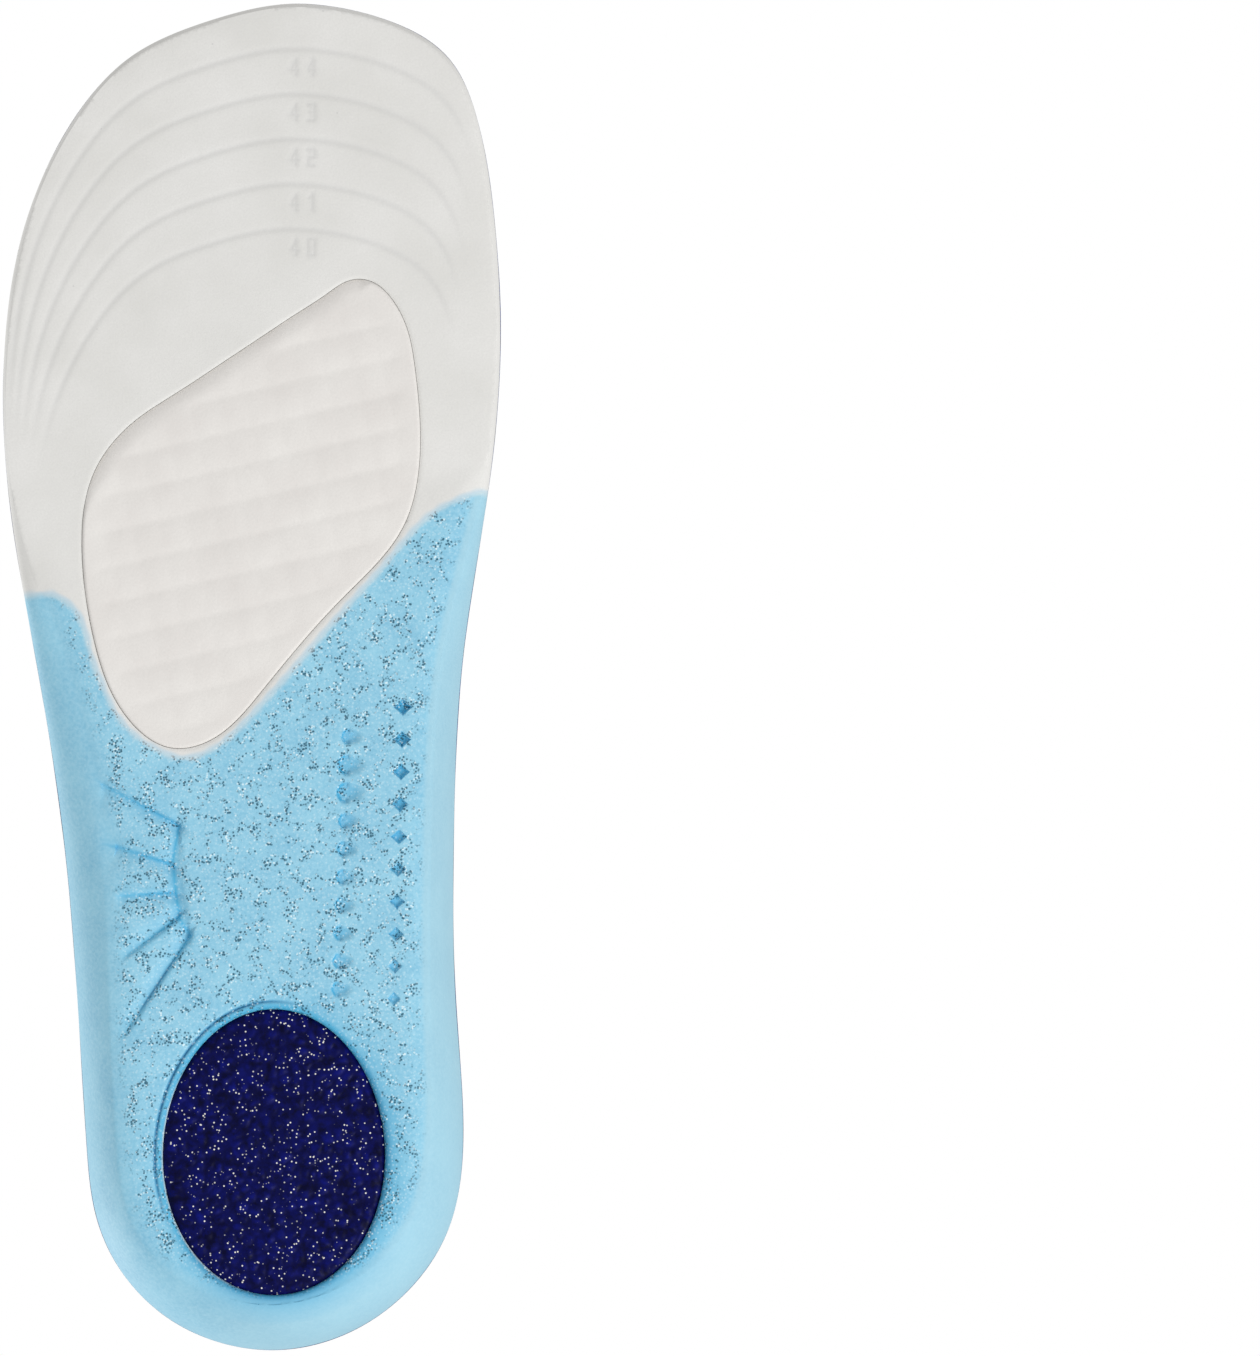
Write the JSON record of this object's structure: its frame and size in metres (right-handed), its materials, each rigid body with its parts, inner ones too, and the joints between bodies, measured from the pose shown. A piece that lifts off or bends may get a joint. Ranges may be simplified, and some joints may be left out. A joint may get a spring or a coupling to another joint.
{
  "type": "cushioned insole",
  "caption": "Right-foot cushioned shoe insole: knit cover over two foams, with a waffle metatarsal pad, a set-back heel gel pad, a heel cup and cut-to-size trim lines.",
  "frame": {"origin": "middle of the insole's length and width, on the plane that the sole stands on", "axes": "toe towards -Y, heel towards +Y, big toe and arch towards +X, foot side towards +Z"},
  "size_m": [0.094, 0.255, 0.022],
  "materials": {
    "cover_knit": "heather knit, matte",
    "white_foam": "moulded foam skin, matte",
    "blue_foam": "moulded foam skin with fine pores, matte",
    "pad_foam": "soft foam with a waffle face, matte",
    "heel_gel": "pebbled gel, glossy",
    "bond_film": "hot-melt film, satin"
  },
  "bodies": {
    "root": {"top_cover": "cover_knit", "cover_bond_film": "bond_film", "forefoot_foam": "white_foam", "rearfoot_shell": "blue_foam", "metatarsal_pad": "pad_foam", "metatarsal_pad_bond_film": "bond_film", "heel_gel_pad": "heel_gel", "heel_gel_bond_film": "bond_film"}
  },
  "joints": []
}
